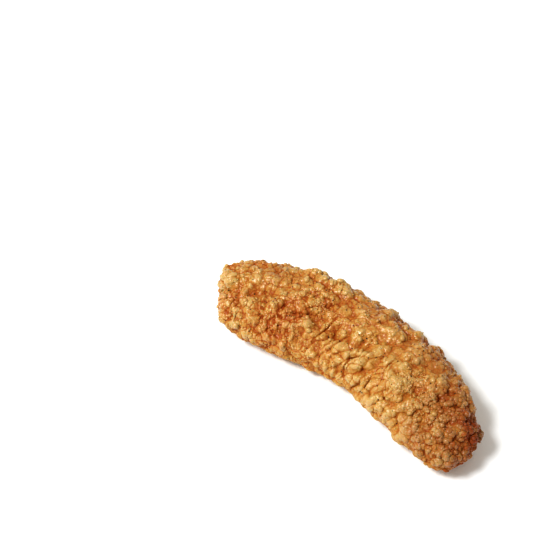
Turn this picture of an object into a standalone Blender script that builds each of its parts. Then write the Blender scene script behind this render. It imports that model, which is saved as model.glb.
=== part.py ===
"""One chicken tender in a craggy fried crust, lying on its flat side, at its real size.

Units are metres and +Z is up. +X runs along the tender, and the origin is on the floor under the middle
of its box. The solid is a bent, blunt-ended strip of meat, and its crust is relief in the same solid:
broad swells, one long furrow, and round lumps of two sizes that meet in creases.
"""

import math

import bmesh
import bpy
import numpy as np

# Driving dimensions of the bare strip, under the crags. Its length is measured along its bent middle line.
LENGTH = 0.1240
WIDTH = 0.0350
HEIGHT = 0.0255

# The underside is flatter than the top: its share of the half height.
BELLY = 0.75

# How blunt each end is, and how square the section is: 2 is an ellipse, and more is boxier.
BLUNT_LEFT = 4.2
BLUNT_RIGHT = 3.5
SQUARE_SIDES = 2.35

# How far each end's far side is moved along the strip, so that the end is cut on a slant.
SLANT_LEFT = -0.0065
SLANT_RIGHT = -0.0025

# From the left end to the right end: the middle line's heading, in degrees from +X, and the strip's width
# and height, as shares of WIDTH and HEIGHT.
STATIONS = (-1.0, -0.6, -0.2, 0.2, 0.6, 1.0)
HEADINGS = (19.0, 19.0, 7.0, -9.0, -19.0, -26.0)
WIDTH_SHARES = (0.96, 1.07, 1.07, 0.95, 0.88, 0.78)
HEIGHT_SHARES = (0.9, 0.99, 1.04, 1.02, 0.97, 0.87)

# Relief, in metres: swells as (size, height, seed), and lumps as (size, share of a ball's height, seed).
SWELLS = ((0.027, 0.0018, 1), (0.012, 0.0013, 2))
LUMPS = ((0.0074, 0.40, 11), (0.0041, 0.64, 23))
BALL_LEAST = 0.36
BALL_MOST = 0.70
BALL_DRAW = 0.7
DRIFT = 0.0008
SUNK = 0.0005
UNDERSIDE_SHARE = 0.32

# The long furrow: its depth, its half width, and its angle round the section at stations along the strip.
FURROW_DEPTH = 0.0022
FURROW_HALF_WIDTH = 0.0032
FURROW_ANGLES = ((-1.0, 104.0), (-0.6, 100.0), (-0.15, 112.0), (0.3, 100.0), (0.9, 118.0))

# The grid that carries the relief, and what is left of it for the solid.
RINGS = 300
SPOKES = 130
SOLID_TRIANGLES = 11300

# The underside is pressed flat where it lies, this far above the lowest crag.
FOOT_DEPTH = 0.0012

CRUST_COLOUR = (0.62, 0.29, 0.075, 1.0)
CRUST_ROUGHNESS = 0.62


def clear_scene():
    """Leaves an empty scene with no objects or collections."""
    for thing in list(bpy.data.objects):
        bpy.data.objects.remove(thing, do_unlink=True)
    for group in list(bpy.data.collections):
        bpy.data.collections.remove(group)


def collection(name):
    """A new collection in the scene."""
    group = bpy.data.collections.new(name)
    bpy.context.scene.collection.children.link(group)
    return group


def crust_material():
    """The fried crust: golden brown, dull and dry."""
    finish = bpy.data.materials.new("fried_crust")
    finish.use_nodes = True
    shader = finish.node_tree.nodes["Principled BSDF"]
    shader.inputs["Base Color"].default_value = CRUST_COLOUR
    shader.inputs["Roughness"].default_value = CRUST_ROUGHNESS
    shader.inputs["Metallic"].default_value = 0.0
    return finish


def scatter(cells, seed):
    """Three numbers from 0 to 1 for each whole-numbered cell, the same on every run.

    The cell's place is multiplied by large odd constants, joined and stirred by shifts, and the 64 bits
    that come out are cut into three numbers.
    """
    whole = cells.astype(np.int64).astype(np.uint64)
    mixed = (
        whole[..., 0] * np.uint64(0x9E3779B97F4A7C15)
        ^ whole[..., 1] * np.uint64(0xC2B2AE3D27D4EB4F)
        ^ whole[..., 2] * np.uint64(0x165667B19E3779F9)
        ^ np.uint64(seed * 2654435761)
    )
    for shift in (29, 31, 27):
        mixed ^= mixed >> np.uint64(shift)
        mixed *= np.uint64(0xBF58476D1CE4E5B9)
    parts = [(mixed >> np.uint64(shift)) & np.uint64(0xFFFFF) for shift in (4, 24, 44)]
    return np.stack(parts, axis=-1).astype(float) / float(0x100000)


def swell(points, size, seed):
    """Three smooth noises from -1 to 1, side by side, whose hills are about size across.

    Each corner of a cube lattice has three numbers, and a point mixes its eight corners with a fade curve.
    """
    place = points / size
    low = np.floor(place)
    share = place - low
    fade = share * share * (3.0 - 2.0 * share)
    total = np.zeros((len(points), 3))
    for corner in np.ndindex(2, 2, 2):
        near = np.array(corner, dtype=float)
        weight = np.prod(np.where(near > 0, fade, 1.0 - fade), axis=1)
        total += weight[:, None] * scatter(low + near, seed)
    return 2.0 * total - 1.0


def lumps(points, size, seed):
    """Height, in metres, of rounded lumps about size across that grow into each other.

    Each cell of a cube lattice holds one ball, at a random place, of a random radius, drawn out along a
    random line. A point takes the highest ball above it, so that balls meet in sharp creases.
    """
    place = points / size
    low = np.floor(place)
    height = np.zeros(len(points))
    for step in np.ndindex(3, 3, 3):
        cell = low + np.array(step, dtype=float) - 1.0
        away = place - cell - 0.1 - 0.8 * scatter(cell, seed)
        line = scatter(cell, seed + 1) - 0.5
        line /= np.linalg.norm(line, axis=1, keepdims=True) + 1e-6
        chance = scatter(cell, seed + 2)
        radius = BALL_LEAST + (BALL_MOST - BALL_LEAST) * chance[:, 0]
        drawn = 1.0 - 1.0 / (1.0 + BALL_DRAW * chance[:, 1]) ** 2
        distance = (away**2).sum(axis=1) - drawn * (away * line).sum(axis=1) ** 2
        height = np.maximum(height, np.sqrt(np.clip(radius**2 - distance, 0.0, None)))
    return size * height


def superellipse(turn, power_low, power_high):
    """(along, across) of a closed outline at each angle, with its own bluntness on each side of zero."""
    along = np.cos(turn)
    power = 2.0 / np.where(along < 0.0, power_low, power_high)
    return np.sign(along) * np.abs(along) ** power, np.abs(np.sin(turn)) ** power


def even_turns(count, reach, power_low, power_high, full):
    """Angles that cut an outline into count equal lengths, found on a fine table of its arc length."""
    turn = np.linspace(0.0, full, 4001)
    along, across = superellipse(turn, power_low, power_high)
    across = across * np.where(turn > math.pi, -1.0, 1.0)
    step = np.hypot(np.diff(along) * reach[0], np.diff(across) * reach[1])
    length = np.concatenate([[0.0], np.cumsum(step)])
    return np.interp(np.linspace(0.0, length[-1], count + 1), length, turn)


def middle_line(station):
    """(x, y, heading) of the bent middle line at each station, from steps summed along its headings."""
    places = np.linspace(-1.0, 1.0, 401)
    headings = np.radians(np.interp(places, STATIONS, HEADINGS))
    step = 0.5 * LENGTH * (places[1] - places[0])
    x = np.cumsum(step * np.cos(headings))
    y = np.cumsum(step * np.sin(headings))
    return np.interp(station, places, x), np.interp(station, places, y), np.interp(station, places, headings)


def strip_points(ring_turn, spoke_turn):
    """(points, station) of the bare strip at each pair of angles.

    ring_turn runs from the right end, 0, to the left end, pi. spoke_turn runs round the section, from
    its far side. The strip is bent in the floor's plane, and its ends point towards -Y.
    """
    station, fullness = superellipse(ring_turn, BLUNT_LEFT, BLUNT_RIGHT)
    side, up = superellipse(spoke_turn, SQUARE_SIDES, SQUARE_SIDES)
    up = up * np.sign(np.sin(spoke_turn))
    half_width = 0.5 * WIDTH * np.interp(station, STATIONS, WIDTH_SHARES) * fullness
    half_height = 0.5 * HEIGHT * np.interp(station, STATIONS, HEIGHT_SHARES) * fullness
    half_height = half_height * np.where(up < 0.0, BELLY, 1.0)
    x, y, heading = middle_line(station)
    outward = side * half_width
    slant = np.where(station < 0.0, SLANT_LEFT, SLANT_RIGHT) * station**4 * side * fullness
    points = [
        x + slant * np.cos(heading) - outward * np.sin(heading),
        y + slant * np.sin(heading) + outward * np.cos(heading),
        up * half_height,
    ]
    return np.stack(points, axis=1), station


def furrow(station, spoke_turn):
    """How much of the long furrow's depth each point has: a rounded groove that wanders along the top."""
    centre = np.interp(station, *zip(*FURROW_ANGLES))
    away = np.degrees(spoke_turn) - centre
    reach = 0.25 * (WIDTH + HEIGHT) * np.radians(away)
    return np.exp(-((reach / FURROW_HALF_WIDTH) ** 2)) * (0.45 + 0.55 * np.clip(-station, 0.0, 1.0))


def relief(points, station, spoke_turn):
    """How far each point of the bare strip stands out: swells, two sizes of lump and the furrow.

    The underside has a share of that height, because it was pressed flat while it fried.
    """
    wander = points + DRIFT * swell(points, 3.0 * DRIFT, 40)
    swells = sum(height * swell(points, size, seed)[:, 0] for size, height, seed in SWELLS)
    crags = sum(share * lumps(wander, size, seed) for size, share, seed in LUMPS)
    above = np.clip(0.6 + 1.2 * np.sin(spoke_turn), 0.0, 1.0)
    height = (swells + crags) * (UNDERSIDE_SHARE + (1.0 - UNDERSIDE_SHARE) * above)
    return height - SUNK - FURROW_DEPTH * furrow(station, spoke_turn)


def crusted_mesh():
    """The strip with its relief, from a sphere's rings and spokes moved to their places."""
    form = bmesh.new()
    bmesh.ops.create_uvsphere(form, u_segments=SPOKES, v_segments=RINGS, radius=1.0)
    mesh = bpy.data.meshes.new("tender")
    form.to_mesh(mesh)
    form.free()
    ball = np.empty(3 * len(mesh.vertices))
    mesh.vertices.foreach_get("co", ball)
    ball = ball.reshape(-1, 3)
    ring = np.arccos(np.clip(ball[:, 2], -1.0, 1.0)) / math.pi * RINGS
    spoke = np.mod(np.arctan2(ball[:, 1], ball[:, 0]), 2.0 * math.pi) / (2.0 * math.pi) * SPOKES
    ring_turns = even_turns(RINGS, (0.5 * LENGTH, 0.5 * WIDTH), BLUNT_LEFT, BLUNT_RIGHT, math.pi)
    spoke_turns = even_turns(SPOKES, (0.5 * WIDTH, 0.5 * HEIGHT), SQUARE_SIDES, SQUARE_SIDES, 2.0 * math.pi)
    ring_turn = np.interp(ring, np.arange(RINGS + 1), ring_turns)
    spoke_turn = np.interp(spoke, np.arange(SPOKES + 1), spoke_turns)
    points, station = strip_points(ring_turn, spoke_turn)
    mesh.vertices.foreach_set("co", points.ravel())
    mesh.update()
    normals = np.empty(3 * len(mesh.vertices), dtype=np.float32)
    mesh.vertices.foreach_get("normal", normals)
    normals = normals.reshape(-1, 3).astype(float)
    points = points + normals * relief(points, station, spoke_turn)[:, None]
    mesh.vertices.foreach_set("co", points.ravel())
    mesh.update()
    return mesh


def floor_block(lowest, group):
    """A block whose top, FOOT_DEPTH above the lowest crag, presses the underside flat."""
    bpy.ops.mesh.primitive_cube_add(size=1.0)
    block = bpy.context.active_object
    block.name = "floor_block"
    block.scale = (3.0 * LENGTH, 4.0 * WIDTH, HEIGHT)
    block.location = (0.5 * LENGTH, 0.0, lowest + FOOT_DEPTH - 0.5 * HEIGHT)
    for owner in list(block.users_collection):
        owner.objects.unlink(block)
    group.objects.link(block)
    block.hide_render = True
    block.display_type = "WIRE"
    return block


def build_tender():
    """The tender as one solid, set down with the origin under the middle of its box."""
    group = collection("chicken_tender")
    cutters = collection("cutters")
    tender = bpy.data.objects.new("tender", crusted_mesh())
    group.objects.link(tender)
    tender.data.materials.append(crust_material())
    heights = np.empty(3 * len(tender.data.vertices))
    tender.data.vertices.foreach_get("co", heights)
    block = floor_block(heights[2::3].min(), cutters)
    block.parent = tender

    thin = tender.modifiers.new("thin_out", "DECIMATE")
    thin.ratio = SOLID_TRIANGLES / (2.0 * SPOKES * (RINGS - 1))
    press = tender.modifiers.new("pressed_flat", "BOOLEAN")
    press.operation = "DIFFERENCE"
    press.solver = "EXACT"
    press.object = block

    bpy.context.view_layer.update()
    seen = tender.evaluated_get(bpy.context.evaluated_depsgraph_get())
    corners = np.array(seen.bound_box)
    middle = 0.5 * (corners.min(axis=0) + corners.max(axis=0))
    tender.location = (-middle[0], -middle[1], -corners[:, 2].min())
    tender.data.shade_smooth()
    return tender


if __name__ == "__main__":
    clear_scene()
    build_tender()
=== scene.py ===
"""A fried chicken tender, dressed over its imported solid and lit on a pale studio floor.

The crust follows the solid's own form and is far finer. Each surface is a function of two angles, worked out
with numpy on a grid: the bare strip comes first, then layers of lumps from large to small, each on the one
before, and then the crumbs, flakes and pepper that are stuck to them. Lengths are metres and +Z is up.
"""

import logging
import math
from dataclasses import dataclass
from enum import Enum

import bpy
import numpy as np
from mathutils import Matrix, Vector


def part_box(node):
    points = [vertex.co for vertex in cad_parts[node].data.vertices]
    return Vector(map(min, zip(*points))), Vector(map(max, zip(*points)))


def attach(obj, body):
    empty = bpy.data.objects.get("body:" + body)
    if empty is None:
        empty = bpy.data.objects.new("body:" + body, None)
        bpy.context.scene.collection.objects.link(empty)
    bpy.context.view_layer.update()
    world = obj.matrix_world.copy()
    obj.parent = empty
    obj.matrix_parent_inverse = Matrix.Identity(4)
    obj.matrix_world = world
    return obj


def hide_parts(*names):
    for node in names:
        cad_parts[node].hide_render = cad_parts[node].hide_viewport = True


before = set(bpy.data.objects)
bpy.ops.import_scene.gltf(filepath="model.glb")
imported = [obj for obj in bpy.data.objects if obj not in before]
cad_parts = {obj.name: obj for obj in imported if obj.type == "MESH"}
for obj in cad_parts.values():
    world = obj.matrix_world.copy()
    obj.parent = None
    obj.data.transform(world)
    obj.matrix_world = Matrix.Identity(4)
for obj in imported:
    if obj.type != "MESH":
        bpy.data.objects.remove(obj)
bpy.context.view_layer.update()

CAD_NODE = "tender"
BODY = "root"
MILLIMETRE = 0.001

Colour = tuple[float, float, float]
Socket = bpy.types.NodeSocket
Triple = tuple[np.ndarray, np.ndarray, np.ndarray]

log = logging.getLogger("tender")


class Zone(Enum):
    """The kinds of crust that lie in patches on the tender; the reddish and the dark brown ones are partly
    painted shade.
    """

    FLAKY = "flaky"
    LOBED = "lobed"
    SMOOTH = "smooth"
    NODULAR = "nodular"
    CRUMBLY = "crumbly"
    PITTED = "pitted"
    FILLED = "filled"
    FLOURY = "floury"
    EMBER_AND_PIT_SHADE = "ember_and_pit_shade"
    BROWNED_AND_SHADED = "browned_and_shaded"
    BURNT = "burnt"


@dataclass(frozen=True)
class Patch:
    """A round patch of one kind of crust.

    Args:
        zone: the kind of crust.
        station: its middle along the strip, from -1 at the left end to 1 at the right end.
        turn: its middle round the section, in degrees from the far side, over the top.
        reach: the distance, in metres, at which it fades to about a third.
        strength: its share at the middle.
    """

    zone: Zone
    station: float
    turn: float
    reach: float
    strength: float = 1.0


PATCHES = (
    Patch(Zone.FLAKY, -0.66, 135.0, 0.013),
    Patch(Zone.FLAKY, -0.44, 150.0, 0.012),
    Patch(Zone.LOBED, -0.10, 118.0, 0.009),
    Patch(Zone.LOBED, 0.08, 132.0, 0.014),
    Patch(Zone.LOBED, 0.32, 150.0, 0.014),
    Patch(Zone.LOBED, 0.30, 118.0, 0.008),
    Patch(Zone.LOBED, 0.66, 150.0, 0.008),
    Patch(Zone.SMOOTH, -0.72, 84.0, 0.009, 0.7),
    Patch(Zone.SMOOTH, -0.45, 75.0, 0.011, 0.7),
    Patch(Zone.SMOOTH, -0.10, 55.0, 0.014, 0.8),
    Patch(Zone.SMOOTH, 0.20, 62.0, 0.013),
    Patch(Zone.SMOOTH, 0.48, 66.0, 0.012),
    Patch(Zone.NODULAR, 0.77, 85.0, 0.012),
    Patch(Zone.NODULAR, 0.98, 90.0, 0.014),
    Patch(Zone.CRUMBLY, 0.52, 100.0, 0.0055),
    Patch(Zone.CRUMBLY, 0.64, 106.0, 0.0038),
    Patch(Zone.CRUMBLY, -0.28, 92.0, 0.0040, 0.8),
    Patch(Zone.PITTED, 0.55, 96.0, 0.0020),
    Patch(Zone.PITTED, 0.67, 84.0, 0.0028),
    Patch(Zone.PITTED, -0.23, 89.0, 0.0026),
    Patch(Zone.PITTED, -0.85, 116.0, 0.0022),
    Patch(Zone.PITTED, -0.40, 113.0, 0.0030),
    Patch(Zone.PITTED, 0.92, 140.0, 0.0020),
    Patch(Zone.FILLED, -0.70, 40.0, 0.0050),
    Patch(Zone.FILLED, -0.96, 150.0, 0.0085, 1.4),
    Patch(Zone.FLOURY, -0.97, 95.0, 0.010),
    Patch(Zone.FLOURY, 0.30, 152.0, 0.015),
    Patch(Zone.FLOURY, 0.62, 158.0, 0.011),
    Patch(Zone.FLOURY, 0.12, 118.0, 0.0060, 0.8),
    Patch(Zone.FLOURY, 0.95, 160.0, 0.0060, 0.8),
    Patch(Zone.FLOURY, 0.52, 102.0, 0.0060),
    Patch(Zone.FLOURY, 0.62, 128.0, 0.0110, 0.9),
    # Ember patches redden and darken the crust: painted shade in the pits they share with the pitted patches,
    # and a reddish tone elsewhere.
    Patch(Zone.EMBER_AND_PIT_SHADE, 0.55, 96.0, 0.0024),
    Patch(Zone.EMBER_AND_PIT_SHADE, -0.42, 113.0, 0.0065, 0.8),
    Patch(Zone.EMBER_AND_PIT_SHADE, -0.50, 150.0, 0.0085, 0.45),
    Patch(Zone.EMBER_AND_PIT_SHADE, -0.90, 120.0, 0.0055, 0.7),
    Patch(Zone.EMBER_AND_PIT_SHADE, -0.76, 45.0, 0.0045, 0.7),
    Patch(Zone.EMBER_AND_PIT_SHADE, -0.22, 90.0, 0.0040, 0.8),
    # Browned patches: the thin right end fried darker and also painted shade there, and painted shade on the far
    # upper face, which faces away from the key light.
    Patch(Zone.BROWNED_AND_SHADED, 0.88, 62.0, 0.018, 0.85),
    Patch(Zone.BROWNED_AND_SHADED, 0.72, 82.0, 0.0100, 0.8),
    Patch(Zone.BROWNED_AND_SHADED, 1.0, 105.0, 0.010, 0.7),
    Patch(Zone.BROWNED_AND_SHADED, 0.45, 45.0, 0.0150, 0.35),
    Patch(Zone.BROWNED_AND_SHADED, 0.05, 35.0, 0.0120, 0.25),
    Patch(Zone.BROWNED_AND_SHADED, -0.62, 62.0, 0.0070, 0.30),
    Patch(Zone.BURNT, 0.91, 28.0, 0.0035),
)


@dataclass(frozen=True)
class StripForm:
    """The bare strip of meat under the crust, with the sizes and shares that the solid has.

    The strip is a superellipse along its length and round its section. Its middle line bends in the
    floor's plane, along headings in degrees from +X.
    """

    length: float = 0.1240
    width: float = 0.0350
    height: float = 0.0255
    belly: float = 0.75
    blunt_left: float = 4.2
    blunt_right: float = 3.5
    square_sides: float = 2.35
    slant_left: float = -0.0065
    slant_right: float = -0.0025
    stations: tuple[float, ...] = (-1.0, -0.6, -0.2, 0.2, 0.6, 1.0)
    headings: tuple[float, ...] = (19.0, 19.0, 7.0, -9.0, -19.0, -26.0)
    width_shares: tuple[float, ...] = (0.96, 1.07, 1.07, 0.95, 0.88, 0.78)
    height_shares: tuple[float, ...] = (0.9, 0.99, 1.04, 1.02, 0.97, 0.87)
    outline_samples: int = 4001
    line_samples: int = 401

    @staticmethod
    def superellipse(turn: np.ndarray, low: float, high: float) -> tuple[np.ndarray, np.ndarray]:
        """A closed outline: along is the cosine, and across the sine, each raised to 2 over a bluntness.

        Args:
            turn: angles in radians.
            low: the bluntness where the cosine is negative.
            high: the bluntness where it is positive.

        Returns:
            (along, across), where across is never negative.
        """
        along = np.cos(turn)
        power = 2.0 / np.where(along < 0.0, low, high)
        return np.sign(along) * np.abs(along) ** power, np.abs(np.sin(turn)) ** power

    def ring_turns(self, count: int) -> np.ndarray:
        """Angles from the right end to the left end, an equal length of outline apart.

        Args:
            count: how many steps lie between the ends.

        Returns:
            The count + 1 angles, in radians.
        """
        turn = np.linspace(0.0, math.pi, self.outline_samples)
        along, across = self.superellipse(turn, self.blunt_left, self.blunt_right)
        step = np.hypot(np.diff(along) * 0.5 * self.length, np.diff(across) * 0.5 * self.width)
        return self._share_out(turn, step, count)

    def spoke_turns(self, count: int, top_share: float) -> np.ndarray:
        """count angles round the section, closer together where they face up.

        Args:
            count: how many angles.
            top_share: how much denser the top is than the underside, as a factor.

        Returns:
            The angles, in radians, from the far side over the top.
        """
        turn = np.linspace(0.0, 2.0 * math.pi, self.outline_samples)
        along, across = self.superellipse(turn, self.square_sides, self.square_sides)
        across = across * np.where(turn > math.pi, -self.belly, 1.0)
        step = np.hypot(np.diff(along) * 0.5 * self.width, np.diff(across) * 0.5 * self.height)
        middle = 0.5 * (turn[1:] + turn[:-1])
        step = step * np.where(middle > math.pi, 1.0, top_share)
        return self._share_out(turn, step, count)[:-1]

    @staticmethod
    def _share_out(turn: np.ndarray, step: np.ndarray, count: int) -> np.ndarray:
        """count + 1 of the angles, so that equal sums of the steps lie between them."""
        length = np.concatenate([[0.0], np.cumsum(step)])
        return np.interp(np.linspace(0.0, length[-1], count + 1), length, turn)

    def middle_line(self, station: np.ndarray) -> Triple:
        """The bent middle line, from steps summed along its headings.

        Args:
            station: places along the strip, from -1 to 1.

        Returns:
            (x, y, heading in radians) at those places.
        """
        places = np.linspace(-1.0, 1.0, self.line_samples)
        headings = np.radians(np.interp(places, self.stations, self.headings))
        step = 0.5 * self.length * (places[1] - places[0])
        x = np.cumsum(step * np.cos(headings))
        y = np.cumsum(step * np.sin(headings))
        return tuple(np.interp(station, places, values) for values in (x, y, headings))

    def points(self, ring_turn: np.ndarray, spoke_turn: np.ndarray) -> tuple[np.ndarray, np.ndarray]:
        """The strip's surface: across the middle line by the section's cosine, and up by its sine.

        Args:
            ring_turn: the angle along the strip, from the right end, 0, to the left end, pi.
            spoke_turn: the angle round the section, from its far side, over the top.

        Returns:
            (points, station), where station runs from -1 at the left end to 1 at the right end.
        """
        station, fullness = self.superellipse(ring_turn, self.blunt_left, self.blunt_right)
        side, up = self.superellipse(spoke_turn, self.square_sides, self.square_sides)
        up = up * np.sign(np.sin(spoke_turn))
        half_width = 0.5 * self.width * np.interp(station, self.stations, self.width_shares) * fullness
        half_height = 0.5 * self.height * np.interp(station, self.stations, self.height_shares) * fullness
        half_height = half_height * np.where(up < 0.0, self.belly, 1.0)
        x, y, heading = self.middle_line(station)
        outward = side * half_width
        slant = np.where(station < 0.0, self.slant_left, self.slant_right) * station**4 * side * fullness
        placed = (
            x + slant * np.cos(heading) - outward * np.sin(heading),
            y + slant * np.sin(heading) + outward * np.cos(heading),
            up * half_height,
        )
        return np.stack(placed, axis=-1), station


@dataclass(frozen=True)
class Mounds:
    """A field of rounded mounds, one for each cell of a cube lattice.

    Args:
        size: the cells' width.
        seed: which field.
        least: the smallest mound's radius, in cells.
        most: the largest mound's radius, in cells.
        draw: how much longer than wide a mound may be, less one.
        steepness: the power, 0.5 for a ball and more for a mound with gentler sides.
    """

    size: float
    seed: int
    least: float = 0.36
    most: float = 0.70
    draw: float = 0.7
    steepness: float = 0.5


class Noise:
    """Repeatable random fields in space, all worked out from the numbers of a cube lattice's cells."""

    AXIS_FACTORS = (0x9E3779B97F4A7C15, 0xC2B2AE3D27D4EB4F, 0x165667B19E3779F9)
    SEED_FACTOR = 2654435761
    STIR_FACTOR = 0xBF58476D1CE4E5B9
    STIR_SHIFTS = (29, 31, 27)
    PART_SHIFTS = (4, 24, 44)
    PART_SIZE = 0x100000
    CELL_MARGIN = 0.1
    CELL_SPREAD = 0.8
    KNOB_RADII = (0.55, 0.88)
    KNOB_DRAW = 0.2

    @classmethod
    def scatter(cls, cells: np.ndarray, seed: int) -> np.ndarray:
        """Three numbers for each whole-numbered cell, from its stirred 64-bit product.

        Args:
            cells: (..., 3) whole-numbered cells.
            seed: which field.

        Returns:
            (..., 3) numbers from 0 to 1.
        """
        whole = cells.astype(np.int64).astype(np.uint64)
        first, second, third = (np.uint64(factor) for factor in cls.AXIS_FACTORS)
        mixed = whole[..., 0] * first ^ whole[..., 1] * second ^ whole[..., 2] * third
        mixed ^= np.uint64(seed * cls.SEED_FACTOR)
        for shift in cls.STIR_SHIFTS:
            mixed ^= mixed >> np.uint64(shift)
            mixed *= np.uint64(cls.STIR_FACTOR)
        parts = [(mixed >> np.uint64(shift)) & np.uint64(cls.PART_SIZE - 1) for shift in cls.PART_SHIFTS]
        return np.stack(parts, axis=-1).astype(float) / float(cls.PART_SIZE)

    @classmethod
    def swell(cls, points: np.ndarray, size: float, seed: int) -> np.ndarray:
        """Three smooth noises side by side: the numbers of each cell's corners, faded together.

        Args:
            points: (n, 3) places.
            size: the cells' width.
            seed: which field.

        Returns:
            (n, 3) values from -1 to 1.
        """
        place = points / size
        low = np.floor(place)
        share = place - low
        fade = share * share * (3.0 - 2.0 * share)
        total = np.zeros((len(points), 3))
        for corner in np.ndindex(2, 2, 2):
            near = np.array(corner, dtype=float)
            weight = np.prod(np.where(near > 0, fade, 1.0 - fade), axis=1)
            total += weight[:, None] * cls.scatter(low + near, seed)
        return 2.0 * total - 1.0

    @classmethod
    def lumps(cls, points: np.ndarray, mounds: Mounds) -> Triple:
        """Rounded lumps that grow into each other: the highest of one drawn-out mound for each cell.

        A mound's height is its radius times a power of one less the square of the distance to its
        middle, in radii, where the distance along the mound's own line counts for less.

        Args:
            points: (n, 3) places.
            mounds: the field of mounds.

        Returns:
            (height in the points' units, the highest mound's own number from 0 to 1, how far the
            highest mound stands over the next one).
        """
        seed, least, most, draw = mounds.seed, mounds.least, mounds.most, mounds.draw
        place = points / mounds.size
        low = np.floor(place)
        height = np.zeros(len(points))
        second = np.zeros(len(points))
        tint = np.full(len(points), 0.5)
        for step in np.ndindex(3, 3, 3):
            cell = low + np.array(step, dtype=float) - 1.0
            away = place - cell - cls.CELL_MARGIN - cls.CELL_SPREAD * cls.scatter(cell, seed)
            near = np.flatnonzero((away**2).sum(axis=1) < (most * (1.0 + draw)) ** 2)
            cell, away = cell[near], away[near]
            line = cls.scatter(cell, seed + 1) - 0.5
            line /= np.linalg.norm(line, axis=1, keepdims=True) + 1e-6
            chance = cls.scatter(cell, seed + 2)
            radius = least + (most - least) * chance[:, 0]
            drawn = 1.0 - 1.0 / (1.0 + draw * chance[:, 1]) ** 2
            distance = (away**2).sum(axis=1) - drawn * (away * line).sum(axis=1) ** 2
            rise = radius * np.clip(1.0 - distance / radius**2, 0.0, None) ** mounds.steepness
            before = height[near]
            second[near] = np.maximum(second[near], np.minimum(before, rise))
            height[near] = np.maximum(before, rise)
            tint[near] = np.where(rise > before, chance[:, 2], tint[near])
        return mounds.size * height, tint, mounds.size * (height - second)

    @classmethod
    def knobs(cls, points: np.ndarray, sizes: tuple[tuple[float, float, int], ...]) -> Triple:
        """Knobs of several sizes in one crust, the highest at each point, so small ones fill the gaps.

        Args:
            points: (n, 3) places.
            sizes: the cells' width, the share of a ball's height and the seed of each size.

        Returns:
            (height in the points' units, the highest knob's own number from 0 to 1, how far the
            highest knob stands over the next one).
        """
        height = np.zeros(len(points))
        second = np.zeros(len(points))
        tint = np.full(len(points), 0.5)
        for size, share, seed in sizes:
            rise, own_tint, gap = cls.lumps(points, Mounds(size, seed, *cls.KNOB_RADII, cls.KNOB_DRAW))
            rise, gap = share * rise, share * gap
            second = np.maximum(np.maximum(second, rise - gap), np.minimum(height, rise))
            tint = np.where(rise > height, own_tint, tint)
            height = np.maximum(height, rise)
        return height, tint, height - second

    @classmethod
    def crests(cls, points: np.ndarray, size: float, seed: int, narrow: float) -> np.ndarray:
        """Thin winding crests: one less the size of a noise, raised to a power, in patches.

        Args:
            points: (n, 3) places.
            size: how far the crests lie apart, roughly.
            seed: which field.
            narrow: the power, which makes them thinner.

        Returns:
            (n,) heights from 0 to 1.
        """
        waver_share, waver_size = 0.35, 0.45
        patch_level, patch_slope, fade_level = 0.6, 1.2, 0.7
        first, second, third = cls.swell(points, size, seed).T
        wave = first + waver_share * cls.swell(points, waver_size * size, seed + 5)[:, 0]
        patchy = np.clip(patch_level + patch_slope * second, 0.0, 1.0) * np.clip(fade_level + third, 0.0, 1.0)
        return np.clip(1.0 - np.abs(wave), 0.0, 1.0) ** narrow * patchy


def facing_up(spoke_turn: np.ndarray, level: float, slope: float, least: float = 0.0) -> np.ndarray:
    """A share that grows from the underside to the top: a level plus a slope times the angle's sine.

    Args:
        spoke_turn: angles round the section, in radians from the far side over the top.
        level: the share at the sides.
        slope: how much more it is on top, and less underneath.
        least: the smallest share.

    Returns:
        Shares from least to 1.
    """
    return np.clip(level + slope * np.sin(spoke_turn), least, 1.0)


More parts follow.
